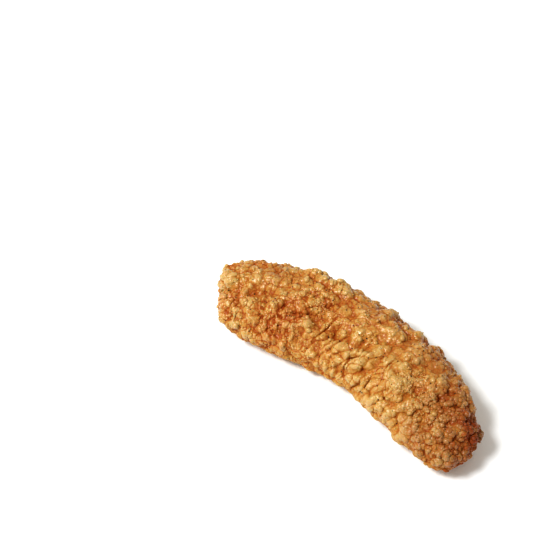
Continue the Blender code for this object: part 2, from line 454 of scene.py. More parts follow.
@dataclass
class CrustGrid:
    """The crust's surface on a grid of rings along the tender and spokes round it.

    Args:
        points: (rings + 1, spokes, 3) places, whose first and last rings are the end poles.
        station: the place along the strip of each point.
        spoke_turn: the angle round the section of each point.
        facts: the named numbers of each point that the finish reads.
    """

    points: np.ndarray
    station: np.ndarray
    spoke_turn: np.ndarray
    facts: dict[str, np.ndarray]

    def normals(self, width: float = 0.0) -> np.ndarray:
        """The outward direction at each point: the cross product of the steps along and round the grid.

        Args:
            width: the bell curve's width, in grid steps, over which the directions are averaged.

        Returns:
            (rings + 1, spokes, 3) unit directions.
        """
        round_step = np.roll(self.points, -1, axis=1) - np.roll(self.points, 1, axis=1)
        along = np.gradient(self.points, axis=0)
        out = np.cross(along, round_step)
        out[0] = out[1].mean(axis=0)
        out[-1] = out[-2].mean(axis=0)
        out /= np.linalg.norm(out, axis=2, keepdims=True) + 1e-12
        if width > 0.0:
            out = self.softened(out, width)
            out /= np.linalg.norm(out, axis=2, keepdims=True) + 1e-12
        return out

    @staticmethod
    def softened(values: np.ndarray, width: float) -> np.ndarray:
        """Grid values averaged over a bell curve, by scaling their waves along and round the grid.

        A wave's share is e to the minus twice the square of pi times the width times its frequency.
        The grid is mirrored past its end poles, and each pole gets the mean of its ring.

        Args:
            values: (rings + 1, spokes, ...) values.
            width: the curve's width, in grid steps.

        Returns:
            The averaged values.
        """
        margin = int(4 * width) + 2
        padding = [(margin, margin)] + [(0, 0)] * (values.ndim - 1)
        result = np.pad(values, padding, mode="reflect")
        for axis in (0, 1):
            count = result.shape[axis]
            waves = np.fft.rfft(result, axis=axis)
            share = np.exp(-2.0 * (math.pi * width * np.fft.rfftfreq(count)) ** 2)
            share = share.reshape([-1 if number == axis else 1 for number in range(values.ndim)])
            result = np.fft.irfft(waves * share, n=count, axis=axis)
        result = result[margin:-margin]
        result[0] = result[0].mean(axis=0)
        result[-1] = result[-1].mean(axis=0)
        return result

    def areas(self) -> np.ndarray:
        """The area round each point, the length of the cross product of its two steps.

        Returns:
            (rings + 1, spokes) areas in square metres.
        """
        round_step = 0.5 * (np.roll(self.points, -1, axis=1) - np.roll(self.points, 1, axis=1))
        along = np.gradient(self.points, axis=0)
        return np.linalg.norm(np.cross(round_step, along), axis=2)


@dataclass(frozen=True)
class Patchiness:
    """Noise that makes a layer thicker in some places than others.

    Args:
        size: how far apart those places are.
        seed: which noise.
        slope: how strongly the noise counts.
        least: the smallest share.
        most: the largest share.
        level: the share at the noise's middle.
    """

    size: float
    seed: int
    slope: float
    least: float
    most: float
    level: float = 0.7


@dataclass(frozen=True)
class Layer:
    """How one layer of relief goes on.

    Args:
        share: its share of its full height outside its zones.
        zones: the zones, with its share in each.
        softness: the width, in metres, over which its heights are averaged.
        evenness: the width over which the directions that it grows in are averaged.
        patchiness: how its share varies from place to place, if it does.
    """

    share: float
    zones: tuple[tuple[Zone, float], ...] = ()
    softness: float = 0.0
    evenness: float = 0.0004
    patchiness: Patchiness | None = None


@dataclass(frozen=True)
class CrustRelief:
    """The layers of relief that make the crust, from broad swells down to grains.

    The first fields are the solid's own. The finer layers each grow out of the one before, along its
    own outward directions, so that small lumps stand on the sides of large ones.
    """

    swells: tuple[tuple[float, float, int], ...] = ((0.027, 0.0018, 1), (0.012, 0.0013, 2))
    lumps: tuple[tuple[float, float, int], ...] = ((0.0074, 0.40, 11), (0.0041, 0.64, 23))
    drift: float = 0.0008
    drift_seed: int = 40
    sunk: float = 0.0005
    underside_share: float = 0.32
    furrow_depth: float = 0.0022
    furrow_half_width: float = 0.0032
    furrow_angles: tuple[tuple[float, float], ...] = (
        (-1.0, 104.0),
        (-0.6, 100.0),
        (-0.15, 112.0),
        (0.3, 100.0),
        (0.9, 118.0),
    )
    furrow_right_share: float = 0.45
    foot_depth: float = 0.0012
    coarse_softness: float = 0.0006
    filling: float = 0.0005
    extra_filling: float = 2.0
    pit_depth: float = 0.0013
    flow: tuple[tuple[float, float, int], ...] = ((0.0006, 0.0050, 41), (0.00025, 0.0018, 42))
    knobs: tuple[tuple[float, float, int], ...] = (
        (0.0050, 0.80, 31),
        (0.0042, 0.84, 33),
        (0.0034, 0.95, 35),
        (0.0029, 1.00, 37),
        (0.0021, 1.10, 38),
    )
    knob_layer: Layer = Layer(
        1.0, ((Zone.SMOOTH, 0.36), (Zone.NODULAR, 0.85), (Zone.FLAKY, 0.6)), softness=0.00010, evenness=0.0010
    )
    lobes: Mounds = Mounds(0.0033, 53, 0.55, 0.88, draw=0.2, steepness=0.55)
    lobe_wander: tuple[tuple[float, float, int], ...] = ((0.0009, 0.0042, 54), (0.0003, 0.0017, 55))
    lobe_slant: float = 0.25
    lobe_squeeze: float = 0.55
    crease_width: float = 0.00018
    crease_depth: float = 0.00028
    shingle_step: float = 0.0038
    shingle_slant: float = 0.32
    shingle_warps: tuple[tuple[float, float, int, int], ...] = ((0.9, 2.2, 91, 0), (0.35, 0.8, 92, 1))
    shingle_power: float = 1.3
    shingle_depth: float = 0.0011
    shingle_layer: Layer = Layer(0.0, ((Zone.FLAKY, 0.7),), softness=0.00014, evenness=0.0010)
    crest_size: float = 0.0024
    crest_seed: int = 83
    crest_power: float = 5.0
    crest_height: float = 0.00060
    crest_layer: Layer = Layer(0.0, ((Zone.FLAKY, 0.7),), softness=0.00008, evenness=0.0010)
    nubs: Mounds = Mounds(0.0017, 47, 0.5, 0.8, draw=0.4)
    nub_layer: Layer = Layer(
        0.28,
        (
            (Zone.SMOOTH, 0.14),
            (Zone.LOBED, 0.10),
            (Zone.FLAKY, 0.24),
            (Zone.NODULAR, 0.30),
            (Zone.CRUMBLY, 0.7),
        ),
        softness=0.00006,
        evenness=0.0006,
        patchiness=Patchiness(0.010, 61, slope=1.4, least=0.1, most=2.0),
    )
    grains: Mounds = Mounds(0.00095, 59, 0.4, 0.8, steepness=0.6)
    grain_layer: Layer = Layer(
        0.30,
        (
            (Zone.SMOOTH, 0.28),
            (Zone.LOBED, 0.24),
            (Zone.FLAKY, 0.26),
            (Zone.NODULAR, 0.15),
            (Zone.CRUMBLY, 0.8),
        ),
        patchiness=Patchiness(0.007, 67, slope=1.2, least=0.2, most=1.8),
    )
    ripple_size: float = 0.0008
    ripple_seed: int = 79
    ripple_layer: Layer = Layer(0.00006)
    crag_scales: tuple[tuple[float, float], ...] = ((0.00035, 0.8), (0.0011, 0.50), (0.0032, 0.26))

    def furrow(self, form: StripForm, station: np.ndarray, spoke_turn: np.ndarray) -> np.ndarray:
        """The long furrow: a bell curve across a line that wanders, deepest at the left end.

        Args:
            form: the bare strip.
            station: places along it.
            spoke_turn: angles round it.

        Returns:
            Each point's share of the furrow's depth.
        """
        centre = np.interp(station, *zip(*self.furrow_angles))
        away = np.radians(np.degrees(spoke_turn) - centre)
        reach = 0.25 * (form.width + form.height) * away
        right = self.furrow_right_share
        share = right + (1.0 - right) * np.clip(-station, 0.0, 1.0)
        return np.exp(-((reach / self.furrow_half_width) ** 2)) * share

    def coarse(
        self, form: StripForm, points: np.ndarray, station: np.ndarray, spoke_turn: np.ndarray
    ) -> tuple[np.ndarray, np.ndarray]:
        """The solid's own relief: swells and two sizes of lump, less the furrow and an even sinking.

        Args:
            form: the bare strip.
            points: (n, 3) places on the strip.
            station: their places along it.
            spoke_turn: their angles round it.

        Returns:
            (height of the relief, the smaller lumps' own numbers).
        """
        wander = points + self.drift * Noise.swell(points, 3.0 * self.drift, self.drift_seed)
        height = sum(tall * Noise.swell(points, size, seed)[:, 0] for size, tall, seed in self.swells)
        tint = np.zeros(len(points))
        for size, share, seed in self.lumps:
            rise, tint, _ = Noise.lumps(wander, Mounds(size, seed))
            height = height + share * rise
        above = facing_up(spoke_turn, level=0.6, slope=1.2)
        height = height * (self.underside_share + (1.0 - self.underside_share) * above)
        height = height - self.sunk - self.furrow_depth * self.furrow(form, station, spoke_turn)
        return height, tint


def zone_share(zone: Zone, form: StripForm, points: np.ndarray) -> np.ndarray:
    """How much of a kind of crust each point has: the largest of the bell curves round its patches.

    Args:
        zone: the kind of crust.
        form: the bare strip that the patches lie on.
        points: (n, 3) places on the bare strip.

    Returns:
        (n,) shares from 0 to 1.
    """
    share = np.zeros(len(points))
    for patch in PATCHES:
        if patch.zone is not zone:
            continue
        along = np.sign(patch.station) * abs(patch.station) ** (0.5 * form.blunt_right)
        ring = np.arccos(np.clip(along, -1, 1))
        middle, _ = form.points(np.array([ring]), np.array([math.radians(patch.turn)]))
        away = np.linalg.norm(points - middle[0], axis=1)
        share = np.maximum(share, patch.strength * np.exp(-((away / patch.reach) ** 2)))
    return share


def new_mesh(name: str, points: np.ndarray, quads: np.ndarray, triangles: np.ndarray) -> bpy.types.Mesh:
    """A smooth mesh from arrays.

    Args:
        name: the mesh's name.
        points: (n, 3) places.
        quads: (m, 4) corner numbers.
        triangles: (k, 3) corner numbers.

    Returns:
        The mesh.
    """
    mesh = bpy.data.meshes.new(name)
    corners = np.concatenate([quads.ravel(), triangles.ravel()]).astype(np.int32)
    sides = np.concatenate([np.full(len(quads), 4), np.full(len(triangles), 3)])
    starts = (np.cumsum(sides) - sides).astype(np.int32)
    mesh.vertices.add(len(points))
    mesh.vertices.foreach_set("co", points.astype(np.float32).ravel())
    mesh.loops.add(len(corners))
    mesh.loops.foreach_set("vertex_index", corners)
    mesh.polygons.add(len(sides))
    mesh.polygons.foreach_set("loop_start", starts)
    mesh.update(calc_edges=True)
    mesh.validate()
    mesh.shade_smooth()
    return mesh


def put_facts(mesh: bpy.types.Mesh, facts: dict[str, np.ndarray]) -> None:
    """Gives the mesh one named number for each point from each array.

    Args:
        mesh: the mesh.
        facts: the arrays, by name, in the order of its points.
    """
    for name, values in facts.items():
        layer = mesh.attributes.new(name, "FLOAT", "POINT")
        layer.data.foreach_set("value", values.astype(np.float32).ravel())


def add_piece(name: str, mesh: bpy.types.Mesh, finish: bpy.types.Material, replaces: bool) -> None:
    """Puts a finished piece in the scene, riding on the tender's body, and reports it.

    Args:
        name: the piece's name.
        mesh: its mesh, with its place in it.
        finish: its material.
        replaces: whether it stands for the solid.
    """
    piece = bpy.data.objects.new(name, mesh)
    bpy.context.scene.collection.objects.link(piece)
    mesh.materials.append(finish)
    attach(piece, BODY)
    if replaces:
        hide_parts(CAD_NODE)
    mesh.calc_loop_triangles()
    log.info("%s: %d points, %d triangles", name, len(mesh.vertices), len(mesh.loop_triangles))


class Shader:
    """A material under construction: short ways to add nodes and join them."""

    def __init__(self, name: str) -> None:
        """Starts a material that holds only a Principled BSDF and its output."""
        self.material = bpy.data.materials.new(name)
        self.material.use_nodes = True
        self.nodes = self.material.node_tree.nodes
        self.links = self.material.node_tree.links
        self.bsdf = self.nodes["Principled BSDF"]

    def add(self, kind: str, **settings: object) -> bpy.types.Node:
        """A new node.

        Args:
            kind: its type's name.
            settings: its own settings, by name.

        Returns:
            The node.
        """
        node = self.nodes.new(kind)
        for name, value in settings.items():
            setattr(node, name, value)
        return node

    def join(self, source: Socket | float, target: Socket) -> None:
        """Links a socket to another, or sets a fixed number on it.

        Args:
            source: the socket or number to take.
            target: the socket that gets it.
        """
        if isinstance(source, (int, float)):
            target.default_value = source
        else:
            self.links.new(source, target)

    def place(self) -> Socket:
        """The point's own place, in metres."""
        return self.add("ShaderNodeTexCoord").outputs["Object"]

    def fact(self, name: str) -> Socket:
        """A named number of the surface."""
        return self.add("ShaderNodeAttribute", attribute_name=name).outputs["Fac"]

    def noise(self, size: float, detail: float = 2.0, roughness: float = 0.5) -> Socket:
        """Soft noise in space.

        Args:
            size: roughly how wide its features are, in metres.
            detail: how many finer noises are added.
            roughness: how strongly they count.

        Returns:
            Its value, from 0 to 1.
        """
        node = self.add("ShaderNodeTexNoise")
        self.links.new(self.place(), node.inputs["Vector"])
        node.inputs["Scale"].default_value = 1.0 / size
        node.inputs["Detail"].default_value = detail
        node.inputs["Roughness"].default_value = roughness
        return node.outputs["Fac"]

    def math(
        self, operation: str, first: Socket | float, second: Socket | float, clamp: bool = False
    ) -> Socket:
        """One operation on two numbers.

        Args:
            operation: its name.
            first: the first number.
            second: the second number.
            clamp: whether the result is kept from 0 to 1.

        Returns:
            The result.
        """
        node = self.add("ShaderNodeMath", operation=operation, use_clamp=clamp)
        self.join(first, node.inputs[0])
        self.join(second, node.inputs[1])
        return node.outputs[0]

    def plus_share(self, value: Socket, extra: Socket, share: float) -> Socket:
        """A number plus a share of another."""
        return self.math("ADD", value, self.math("MULTIPLY", extra, share))

    def ramp(self, value: Socket, stops: tuple[tuple[float, Colour], ...]) -> Socket:
        """A colour for each value, blended smoothly between stops.

        Args:
            value: the value.
            stops: (position, colour) pairs in order.

        Returns:
            The colour.
        """
        node = self.add("ShaderNodeValToRGB")
        node.color_ramp.interpolation = "EASE"
        elements = node.color_ramp.elements
        while len(elements) < len(stops):
            elements.new(0.5)
        for element, (position, colour) in zip(elements, stops):
            element.position = position
            element.color = (*colour, 1.0)
        self.links.new(value, node.inputs["Fac"])
        return node.outputs["Color"]

    def mix(
        self, share: Socket | float, first: Socket | Colour, second: Socket | Colour, blend: str = "MIX"
    ) -> Socket:
        """Two colours blended.

        Args:
            share: how much of the second is taken.
            first: the first colour.
            second: the second colour.
            blend: the way of blending.

        Returns:
            The blended colour.
        """
        node = self.add("ShaderNodeMix", data_type="RGBA", blend_type=blend)
        self.join(share, node.inputs[0])
        for colour, socket in ((first, node.inputs[6]), (second, node.inputs[7])):
            if isinstance(colour, tuple):
                socket.default_value = (*colour, 1.0)
            else:
                self.links.new(colour, socket)
        return node.outputs[2]

    def bump(self, height: Socket, depth: float, strength: float, under: Socket | None = None) -> Socket:
        """A normal from a height.

        Args:
            height: the height, from 0 to 1.
            depth: how deep it is, in metres.
            strength: how strongly it counts.
            under: a normal that it lies on, if any.

        Returns:
            The normal.
        """
        node = self.add("ShaderNodeBump")
        node.inputs["Distance"].default_value = depth
        node.inputs["Strength"].default_value = strength
        self.links.new(height, node.inputs["Height"])
        if under is not None:
            self.links.new(under, node.inputs["Normal"])
        return node.outputs["Normal"]

    def settle(self, **values: object) -> None:
        """Sets fixed values on the Principled BSDF's own sockets.

        Args:
            values: the values, by the sockets' names in small letters.
        """
        names = {socket.name.lower().replace(" ", "_"): socket for socket in self.bsdf.inputs}
        for name, value in values.items():
            names[name].default_value = value


@dataclass(frozen=True)
class CrustFinish:
    """The fried crust: golden and a little oily, with painted shade that makes it red-brown in its creases and
    painted light that makes it pale on its tops.
    """

    # crease and bed are painted shade, darker and redder; golden is the crust's own tone; pale is painted light
    # on the tops.
    crease: Colour = (0.345, 0.102, 0.021)
    bed: Colour = (0.415, 0.172, 0.037)
    golden: Colour = (0.475, 0.254, 0.063)
    pale: Colour = (0.530, 0.352, 0.134)
    stops: tuple[float, ...] = (0.14, 0.34, 0.54, 0.84)
    # ember_and_pit_shade_tint reddens and darkens: painted shade in the pits, a reddish tone elsewhere.
    ember_and_pit_shade_tint: Colour = (0.92, 0.66, 0.52)
    # brown is the thin end fried darker, and painted shade at the right end and on the far upper face.
    brown: Colour = (0.255, 0.062, 0.013)
    burnt: Colour = (0.055, 0.014, 0.006)
    mottle_size: float = 0.009
    mottle_share: float = 0.24
    tint_share: float = 0.16
    floury_share: float = 0.18
    height_drop: float = 0.23
    grit_size: float = 0.0007
    grit_share: float = 0.16
    grit_depth: float = 0.0003
    grit_strength: float = 0.40
    oil_grit_strength: float = 0.30
    swell_size: float = 0.0016
    swell_depth: float = 0.0004
    swell_strength: float = 0.30
    wet_size: float = 0.0032
    roughness_oily: float = 0.34
    roughness_dry: float = 0.60
    oil_least: float = 0.15
    oil_gain: float = 6.0
    browned_and_shaded_dulling: float = 0.7
    coat_roughness: float = 0.23
    glow: float = 0.3
    glow_radius: Colour = (1.0, 0.30, 0.12)
    glow_scale: float = 0.0010
    ior: float = 1.46
    specular_ior_level: float = 0.06

    def build(self) -> bpy.types.Material:
        """Makes the material.

        Crag height, grit, mottle, tint and flour add up to a place on the colour ramp; the crag height
        paints shade in creases and light on tops, and the rest is the crust's own uneven tone. Reddish
        patches, painted shade in the pits, dark brown patches, fried darker at the thin end and painted
        shade there and on the far upper face, and burnt patches then change it. Oil lies on crags that face up.

        Returns:
            The material.
        """
        shader = Shader("fried_crust_finish")
        mottle = shader.noise(self.mottle_size, 3.0)
        grit = shader.noise(self.grit_size, 4.0, 0.65)
        # The crag height puts creases low on the ramp as painted shade and tops high as painted light; grit,
        # mottle, tint and flour are the crust's own uneven tone.
        height = shader.plus_share(shader.fact("crag"), grit, self.grit_share)
        height = shader.plus_share(height, mottle, self.mottle_share)
        height = shader.plus_share(height, shader.fact("tint"), self.tint_share)
        height = shader.plus_share(height, shader.fact("floury"), self.floury_share)
        height = shader.math("SUBTRACT", height, self.height_drop, clamp=True)
        colours = (self.crease, self.bed, self.golden, self.pale)
        colour = shader.ramp(height, tuple(zip(self.stops, colours)))
        # Reddish patches: painted shade in the pits, reddish tone elsewhere.
        colour = shader.mix(shader.fact("ember_and_pit_shade"), colour, self.ember_and_pit_shade_tint, "MULTIPLY")
        # Dark brown patches: the thin end fried darker, and painted shade at the right end and on the far upper
        # face.
        colour = shader.mix(shader.fact("browning_and_painted_shade"), colour, self.brown)
        colour = shader.mix(shader.fact("burn"), colour, self.burnt)
        shader.join(colour, shader.bsdf.inputs["Base Color"])

        wet = shader.noise(self.wet_size, 3.0, 0.6)
        spread = self.roughness_dry - self.roughness_oily
        rough = shader.math("ADD", shader.math("MULTIPLY", wet, spread), self.roughness_oily)
        shader.join(rough, shader.bsdf.inputs["Roughness"])
        oily = shader.math("SUBTRACT", wet, self.oil_least, clamp=True)
        oily = shader.math("MULTIPLY", oily, self.oil_gain)
        oily = shader.math("MULTIPLY", oily, shader.fact("crag"))
        oily = shader.math("MULTIPLY", oily, shader.fact("upper"))
        browned_and_shaded = shader.math("MULTIPLY", shader.fact("browning_and_painted_shade"), self.browned_and_shaded_dulling)
        oily = shader.math("MULTIPLY", oily, shader.math("SUBTRACT", 1.0, browned_and_shaded), clamp=True)
        shader.join(oily, shader.bsdf.inputs["Coat Weight"])

        swell = shader.bump(shader.noise(self.swell_size), self.swell_depth, self.swell_strength)
        for name, strength in (("Normal", self.grit_strength), ("Coat Normal", self.oil_grit_strength)):
            shader.join(shader.bump(grit, self.grit_depth, strength, swell), shader.bsdf.inputs[name])
        shader.settle(
            subsurface_weight=self.glow,
            subsurface_radius=self.glow_radius,
            subsurface_scale=self.glow_scale,
            ior=self.ior,
            specular_ior_level=self.specular_ior_level,
            coat_roughness=self.coat_roughness,
        )
        return shader.material


@dataclass(frozen=True)
class PepperFinish:
    """Ground pepper: nearly black, warm and dull."""

    dark: Colour = (0.018, 0.010, 0.006)
    light: Colour = (0.075, 0.034, 0.014)
    speck_size: float = 0.0003
    roughness: float = 0.7
    specular_ior_level: float = 0.4

    def build(self) -> bpy.types.Material:
        """Makes the material: fine noise between the dark husk and the lighter core.

        Returns:
            The material.
        """
        shader = Shader("pepper_finish")
        colour = shader.mix(shader.noise(self.speck_size), self.dark, self.light)
        shader.join(colour, shader.bsdf.inputs["Base Color"])
        shader.settle(roughness=self.roughness, specular_ior_level=self.specular_ior_level)
        return shader.material


@dataclass
class TenderCrust:
    """The whole crust surface, cut into bands along the tender, each a closed mesh.

    Args:
        form: the bare strip.
        relief: the layers that cover it.
        rings: how many steps along the tender.
        spokes: how many round it.
        top_share: how much denser the spokes are on top than underneath.
        bands: how many pieces the crust is cut into.
        overlap_rings: how many rings a band runs on past its cut.
        overlap_sink: how much deeper each of those rings lies than the one before, in metres.
        grid_length: the length, in metres, that the steps share out.
    """

    form: StripForm
    relief: CrustRelief
    rings: int = 860
    spokes: int = 560
    top_share: float = 1.5
    bands: int = 6
    overlap_rings: int = 4
    overlap_sink: float = 0.0005
    grid_length: float = 0.128

    def __post_init__(self) -> None:
        """Works out the crust on one grid."""
        self.step = self.grid_length / self.rings
        ring = self.form.ring_turns(self.rings)
        spoke = self.form.spoke_turns(self.spokes, self.top_share)
        ring_turn, spoke_turn = np.meshgrid(ring, spoke, indexing="ij")
        points, station = self.form.points(ring_turn, spoke_turn)
        self.grid = CrustGrid(points, station, spoke_turn, {})
        self.bare = points.reshape(-1, 3)
        self.shares = {zone: zone_share(zone, self.form, self.bare).reshape(station.shape) for zone in Zone}
        self.above = facing_up(spoke_turn, level=0.8, slope=1.0, least=0.4)
        self.height = np.zeros(station.shape)
        self._grow()

    def gain(self, everywhere: float, zones: tuple[tuple[Zone, float], ...]) -> np.ndarray:
        """A factor for each grid point: one value, drawn towards each zone's own value in its patches.

        Args:
            everywhere: the value outside the zones.
            zones: the zones, with the value in each.

        Returns:
            The factors on the grid.
        """
        value = np.full(self.grid.station.shape, everywhere)
        for zone, target in zones:
            value = value + self.shares[zone] * (target - value)
        return value

    def _grow(self) -> None:
        """Adds each layer of relief to the grid, from coarse to fine, and notes what the finish reads."""
        grid, relief = self.grid, self.relief
        shape = grid.station.shape
        coarse, tint = relief.coarse(self.form, self.bare, grid.station.ravel(), grid.spoke_turn.ravel())
        filled = 1.0 + relief.extra_filling * self.shares[Zone.FILLED]
        coarse = coarse.reshape(shape) + relief.filling * filled
        coarse = coarse - relief.pit_depth * self.shares[Zone.PITTED]
        self._lift(coarse, relief.coarse_softness, 0.0)

        around = self._around()
        flowing = self._places()
        for depth, size, seed in relief.flow:
            flowing = flowing + depth * Noise.swell(self.bare, size, seed)
        knobs, knob_tint, knob_gap = Noise.knobs(flowing, relief.knobs)
        lobes, lobe_tint, lobe_gap = self._lobes(around)
        lobed = self.shares[Zone.LOBED].ravel()
        knobs = knobs + lobed * (lobes - knobs)
        crease = self._crease(knob_gap) + lobed * (self._crease(lobe_gap) - self._crease(knob_gap))
        tint = tint + 0.5 * (knob_tint + lobed * (lobe_tint - knob_tint) - tint)
        self._add(relief.knob_layer, knobs - relief.crease_depth * crease)

        self._add(relief.shingle_layer, relief.shingle_depth * self._shingles(around))
        crests = Noise.crests(flowing, relief.crest_size, relief.crest_seed, relief.crest_power)
        self._add(relief.crest_layer, relief.crest_height * crests)
        nubs, nub_tint, nub_gap = Noise.lumps(self._places(), relief.nubs)
        self._add(relief.nub_layer, nubs)
        grains, _, _ = Noise.lumps(self._places(), relief.grains)
        self._add(relief.grain_layer, grains)
        self._add(relief.ripple_layer, Noise.swell(self._places(), relief.ripple_size, relief.ripple_seed)[:, 0])

        # knob_share and nub_share set how deep the creases pull the crag height down, which the finish paints as
        # shade.
        knob_share, nub_share, nub_tint_share, burn_share = 0.8, 0.4, 0.4, 0.42
        grid.facts = {
            "crag": self._crag(knob_share * crease + nub_share * self._crease(nub_gap)),
            "tint": (tint + nub_tint_share * (nub_tint - tint)).reshape(shape),
            "floury": self._broken(Zone.FLOURY, 73),
            "ember_and_pit_shade": self._broken(Zone.EMBER_AND_PIT_SHADE, 71),
            "browning_and_painted_shade": self._broken(Zone.BROWNED_AND_SHADED, 72),
            "burn": burn_share * self._broken(Zone.BURNT, 74),
            "upper": facing_up(grid.spoke_turn, level=0.3, slope=1.2),
        }
        self._set_down()

    def _places(self) -> np.ndarray:
        """(n, 3) places of the grid's points as they are now."""
        return self.grid.points.reshape(-1, 3)

    def _add(self, layer: Layer, height: np.ndarray) -> None:
        """Lifts the grid by one layer: its heights times its shares, its patches and how far they face up.

        Args:
            layer: how it goes on.
            height: (n,) heights in metres.
        """
        share = self.gain(layer.share, layer.zones)
        patchy = layer.patchiness
        if patchy is not None:
            noise = Noise.swell(self.bare, patchy.size, patchy.seed)[:, 0]
            noise = np.clip(patchy.level + patchy.slope * noise, patchy.least, patchy.most)
            share = share * noise.reshape(share.shape)
        self._lift(share * self.above * self._even(height), layer.softness, layer.evenness)

    def _even(self, height: np.ndarray) -> np.ndarray:
        """The heights on the grid, less their mean, so that a layer doesn't swell the tender."""
        return height.reshape(self.grid.station.shape) - height.mean()

    def _around(self) -> np.ndarray:
        """Places measured along the tender and round its section, a little bent, for what is drawn out.

        Returns:
            (n, 2) metres along and round.
        """
        bend_depth, bend_size, bend_seed = 0.0013, 0.005, 73
        half_round = 0.25 * (self.form.width + self.form.height)
        along = self.grid.station.ravel() * 0.5 * self.form.length
        across = self.grid.spoke_turn.ravel() * half_round
        bend = bend_depth * Noise.swell(self.bare, bend_size, bend_seed)[:, :2]
        return np.stack([along, across], axis=1) + bend

    def _crease(self, gap: np.ndarray) -> np.ndarray:
        """1 where two mounds meet, falling off as a bell curve of how far one stands over the other."""
        return np.exp(-((gap / self.relief.crease_width) ** 2))

    def _lobes(self, around: np.ndarray) -> Triple:
        """Long rounded lobes side by side across the tender: lumps in a space squeezed round the section.

        Args:
            around: (n, 2) metres along and round.

        Returns:
            What Noise.lumps gives.
        """
        relief = self.relief
        along, across = around.T
        for depth, size, seed in relief.lobe_wander:
            along = along + depth * Noise.swell(self.bare, size, seed)[:, 0]
        slice_height = np.full(len(along), 0.5 * relief.lobes.size)
        space = (along + relief.lobe_slant * across, relief.lobe_squeeze * across, slice_height)
        return Noise.lumps(np.stack(space, axis=1), relief.lobes)

    def _shingles(self, around: np.ndarray) -> np.ndarray:
        """Overlapping plates: the part after the whole number of a step count that noise warps, to a power.

        Args:
            around: (n, 2) metres along and round.

        Returns:
            (n,) heights from 0 to 1.
        """
        relief = self.relief
        step = relief.shingle_step
        along, across = around.T
        warps = [
            share * Noise.swell(self.bare, size * step, seed)[:, axis]
            for share, size, seed, axis in relief.shingle_warps
        ]
        count = (relief.shingle_slant * across - along) / step + (warps[0] + warps[1])
        return (count - np.floor(count)) ** relief.shingle_power

    def _lift(self, height: np.ndarray, softness: float, evenness: float) -> None:
        """Moves each grid point outwards.

        Args:
            height: how far, for each grid point.
            softness: the width, in metres, over which the heights are averaged first.
            evenness: the width over which the directions are.
        """
        grid = self.grid
        if softness > 0.0:
            height = grid.softened(height, softness / self.step)
        self.height = self.height + height
        grid.points = grid.points + height[..., None] * grid.normals(evenness / self.step)
        grid.points[0] = grid.points[0].mean(axis=0)
        grid.points[-1] = grid.points[-1].mean(axis=0)

    def _crag(self, creases: np.ndarray) -> np.ndarray:
        """How far each point stands above its surroundings, from 0 in creases to 1 on tops; the finish paints
        shade by it in creases and light on tops.

        It adds up the height less its mean over three widths, each by its own scale, takes off the
        creases, and flattens the extremes with a hyperbolic tangent.

        Args:
            creases: how much each point is part of a crease.

        Returns:
            The numbers on the grid.
        """
        # Creases count as low, so the finish paints shade in them, half as much in smooth patches.
        crag = -creases.reshape(self.height.shape) * self.gain(1.0, ((Zone.SMOOTH, 0.5),))
        for width, scale in self.relief.crag_scales:
            crag += scale * (self.height - self.grid.softened(self.height, width / self.step)) / MILLIMETRE
        return 0.5 + 0.5 * np.tanh(crag)

    def _broken(self, zone: Zone, seed: int) -> np.ndarray:
        """A zone's share, broken up by a broad and a fine noise so that no round patch shows.

        Args:
            zone: the zone.
            seed: which noises.

        Returns:
            The shares on the grid.
        """
        level, broad_size, broad_share, fine_size, fine_share = 0.95, 0.006, 0.6, 0.0022, 0.45
        broad = Noise.swell(self.bare, broad_size, seed)[:, 1]
        fine = Noise.swell(self.bare, fine_size, seed + 10)[:, 1]
        noise = level + broad_share * broad + fine_share * fine
        return np.clip(self.shares[zone] * noise.reshape(self.height.shape), 0.0, 1.0)

    def _set_down(self) -> None:
        """Lays the crust where the solid lies: presses its foot flat and moves it into the solid's box."""
        grid = self.grid
        low, high = (np.array(corner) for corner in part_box(CAD_NODE))
        points = grid.points
        centre = 0.5 * (points.reshape(-1, 3).min(axis=0) + points.reshape(-1, 3).max(axis=0))
        foot = points[..., 2].min() + self.relief.foot_depth
        points[..., 2] = np.maximum(points[..., 2], foot) - foot + low[2]
        points[..., 0] += 0.5 * (low[0] + high[0]) - centre[0]
        points[..., 1] += 0.5 * (low[1] + high[1]) - centre[1]

    def build(self, finish: bpy.types.Material) -> None:
        """Cuts the grid into bands and puts each in the scene as a closed mesh.

        A band runs on past its cut for a few rings that sink inwards under its neighbour, and it is
        closed by a fan of triangles to a point inside.

        Args:
            finish: the crust's material.
        """
        rings = len(self.grid.station) - 1
        cuts = np.linspace(0, rings, self.bands + 1).astype(int)
        for number, (first, last) in enumerate(zip(cuts[:-1], cuts[1:])):
            mesh = self._band_mesh(f"crust_band_{number + 1}", first, last)
            add_piece(mesh.name, mesh, finish, replaces=True)

